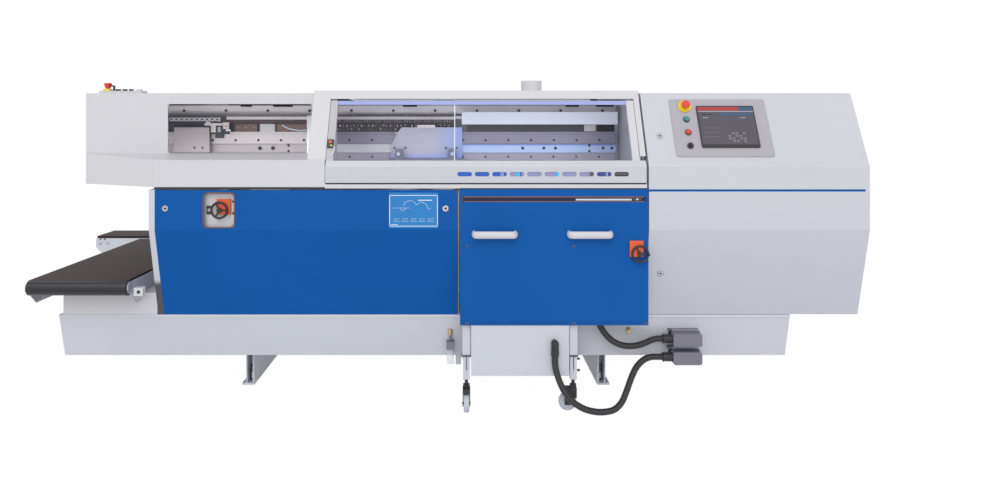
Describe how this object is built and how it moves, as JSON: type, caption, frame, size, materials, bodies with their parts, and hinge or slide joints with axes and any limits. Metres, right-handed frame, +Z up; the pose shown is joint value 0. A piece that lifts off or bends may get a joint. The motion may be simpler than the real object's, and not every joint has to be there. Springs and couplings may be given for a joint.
{
  "type": "perfect binding machine",
  "caption": "Floor-standing perfect binder with slanted glazed hood, docking gluing trolley on castors, delivery belt and control cabinet",
  "frame": {"origin": "middle of the box round the machine, on the floor", "axes": "+X along the row from the delivery belt to the cabinet, +Y to the back, +Z up"},
  "size_m": [4.08, 1.5623, 1.525],
  "materials": {
    "white_paint": "textured powder coat",
    "grey_paint": "powder coat",
    "blue_paint": "smooth powder coat",
    "steel": "brushed",
    "black_plastic": "matt",
    "grey_plastic": "matt",
    "clear_pane": "clear",
    "red_plastic": "glossy",
    "green_plastic": "glossy",
    "dark_belt": "matt",
    "cast_grey": "cast",
    "screen": "glossy",
    "brass": "turned",
    "cable": "corrugated"
  },
  "bodies": {
    "machine": {"base_frame": "grey_paint", "foot_beams": "grey_paint", "leveling_bolts": "steel", "lower_body": "grey_paint", "rear_panels": "white_paint", "left_housing": "white_paint", "window_pane": "clear_pane", "portal_frame": "white_paint", "extraction_spigot": "white_paint", "guide_beams": "steel", "beam_bolts": "steel", "energy_chain": "black_plastic", "lamp_cover": "white_paint", "pressing_station": "steel", "milling_motor": "grey_paint", "recess_plate": "white_paint", "cabinet_shell": "white_paint", "switchgear_plate": "grey_paint", "top_control_box": "grey_paint", "belt_frame": "grey_paint", "conveyor_belt": "dark_belt", "rear_outfeed": "grey_paint", "connector_bases": "grey_plastic", "air_service_unit": "brass"},
    "cutter": {"milling_cutter": "steel"},
    "clamp": {"clamp_carriage": "steel"},
    "jaw": {"clamp_jaw": "steel"},
    "hood": {"safety_hood": "white_paint", "hood_panes": "clear_pane"},
    "cover": {"left_cover": "blue_paint"},
    "cover_lock_a": {"cover_lock_left": "steel"},
    "cover_lock_b": {"cover_lock_right": "steel"},
    "left_wheel": {"left_handwheel": "black_plastic"},
    "door": {"cabinet_door": "white_paint", "control_plate": "grey_paint", "touch_screen": "screen"},
    "door_lock_a": {"door_lock_upper": "steel"},
    "door_lock_b": {"door_lock_lower": "steel"},
    "estop": {"estop_button": "red_plastic"},
    "start": {"start_button": "green_plastic"},
    "stop": {"stop_button": "red_plastic"},
    "key": {"key_switch": "black_plastic"},
    "roof_estop": {"top_estop": "red_plastic"},
    "trolley": {"trolley_frame": "grey_paint", "trolley_panel": "blue_paint", "pull_handles": "white_paint", "electrical_box": "white_paint", "glue_tank": "cast_grey", "connector_hoods": "grey_plastic", "cable_upper": "cable", "cable_lower": "cable"},
    "roller": {"glue_roller": "steel"},
    "trolley_wheel": {"trolley_handwheel": "black_plastic"},
    "fork_left": {"castor_fork_left": "black_plastic"},
    "fork_right": {"castor_fork_right": "black_plastic"},
    "wheel_left": {"castor_wheel_left": "grey_plastic"},
    "wheel_right": {"castor_wheel_right": "grey_plastic"},
    "rear_wheels": {"rear_wheel_pair": "grey_plastic"},
    "belt_front": {"front_roller": "steel"},
    "belt_rear": {"rear_roller": "steel"}
  },
  "joints": [
    {"name": "cutter_spin", "type": "hinge", "parent": "machine", "child": "cutter", "pos_m": [-0.096, -0.2575, 1.022], "axis": [0, 0, 1], "continuous": true},
    {"name": "clamp_travel", "type": "slide", "parent": "machine", "child": "clamp", "axis": [1, 0, 0], "range_m": [-0.8, 0.78]},
    {"name": "jaw_open", "type": "slide", "parent": "clamp", "child": "jaw", "axis": [0, -1, 0], "range_m": [0, 0.06]},
    {"name": "hood_open", "type": "hinge", "parent": "machine", "child": "hood", "pos_m": [0, -0.56103, 1.401], "axis": [-1, 0, 0], "range_deg": [0, 70]},
    {"name": "cover_pull_off", "type": "slide", "parent": "machine", "child": "cover", "axis": [0, -1, 0], "range_m": [0, 0.25]},
    {"name": "cover_lock_left_turn", "type": "hinge", "parent": "cover", "child": "cover_lock_a", "pos_m": [-1.131, -0.7275, 0.92], "axis": [0, -1, 0], "range_deg": [0, 90]},
    {"name": "cover_lock_right_turn", "type": "hinge", "parent": "cover", "child": "cover_lock_b", "pos_m": [0.13, -0.7275, 0.92], "axis": [0, -1, 0], "range_deg": [0, 90]},
    {"name": "left_wheel_turn", "type": "hinge", "parent": "machine", "child": "left_wheel", "pos_m": [-0.89, -0.7275, 0.911], "axis": [0, 1, 0], "continuous": true},
    {"name": "door_open", "type": "hinge", "parent": "machine", "child": "door", "pos_m": [2.033, -0.5275, 0.9], "axis": [0, 0, 1], "range_deg": [0, 110]},
    {"name": "door_lock_upper_turn", "type": "hinge", "parent": "door", "child": "door_lock_a", "pos_m": [1.111, -0.657, 1.243], "axis": [0, -0.8878, 0.4602], "range_deg": [0, 90]},
    {"name": "door_lock_lower_turn", "type": "hinge", "parent": "door", "child": "door_lock_b", "pos_m": [1.111, -0.67257, 0.618], "axis": [0, -0.9659, -0.2588], "range_deg": [0, 90]},
    {"name": "estop_press", "type": "slide", "parent": "door", "child": "estop", "axis": [0, 0.8878, -0.4602], "range_m": [0, 0.006], "stiffness_N_per_m": 900},
    {"name": "start_press", "type": "slide", "parent": "door", "child": "start", "axis": [0, 0.8878, -0.4602], "range_m": [0, 0.004], "stiffness_N_per_m": 600},
    {"name": "stop_press", "type": "slide", "parent": "door", "child": "stop", "axis": [0, 0.8878, -0.4602], "range_m": [0, 0.004], "stiffness_N_per_m": 600},
    {"name": "key_turn", "type": "hinge", "parent": "door", "child": "key", "pos_m": [1.244, -0.68085, 1.197], "axis": [0, 0.8878, -0.4602], "range_deg": [0, 90]},
    {"name": "roof_estop_press", "type": "slide", "parent": "machine", "child": "roof_estop", "axis": [0, 0, -1], "range_m": [0, 0.005], "stiffness_N_per_m": 900},
    {"name": "trolley_pull_out", "type": "slide", "parent": "machine", "child": "trolley", "axis": [0, -1, 0], "range_m": [0, 0.9]},
    {"name": "glue_roller_spin", "type": "hinge", "parent": "trolley", "child": "roller", "pos_m": [0.305, -0.4875, 0.927], "axis": [1, 0, 0], "continuous": true},
    {"name": "trolley_wheel_turn", "type": "hinge", "parent": "trolley", "child": "trolley_wheel", "pos_m": [1.002, -0.7275, 0.718], "axis": [0, 1, 0], "continuous": true},
    {"name": "fork_left_swivel", "type": "hinge", "parent": "trolley", "child": "fork_left", "pos_m": [0.224, -0.6895, 0.11], "axis": [0, 0, 1], "continuous": true},
    {"name": "fork_right_swivel", "type": "hinge", "parent": "trolley", "child": "fork_right", "pos_m": [0.709, -0.6895, 0.11], "axis": [0, 0, 1], "continuous": true},
    {"name": "wheel_left_spin", "type": "hinge", "parent": "fork_left", "child": "wheel_left", "pos_m": [0.224, -0.7155, 0.04], "axis": [1, 0, 0], "continuous": true},
    {"name": "wheel_right_spin", "type": "hinge", "parent": "fork_right", "child": "wheel_right", "pos_m": [0.683, -0.6895, 0.04], "axis": [0, 1, 0], "continuous": true},
    {"name": "rear_wheels_spin", "type": "hinge", "parent": "trolley", "child": "rear_wheels", "pos_m": [0.224, -0.0375, 0.04], "axis": [1, 0, 0], "continuous": true},
    {"name": "front_roller_spin", "type": "hinge", "parent": "machine", "child": "belt_front", "pos_m": [-1.744, -0.7275, 0.5635], "axis": [1, 0, 0], "continuous": true},
    {"name": "rear_roller_spin", "type": "hinge", "parent": "machine", "child": "belt_rear", "pos_m": [-1.744, 0.4375, 0.5635], "axis": [1, 0, 0], "continuous": true}
  ],
  "couplings": [
    {"joint": "rear_roller_spin", "follows": "front_roller_spin", "ratio": 1}
  ]
}
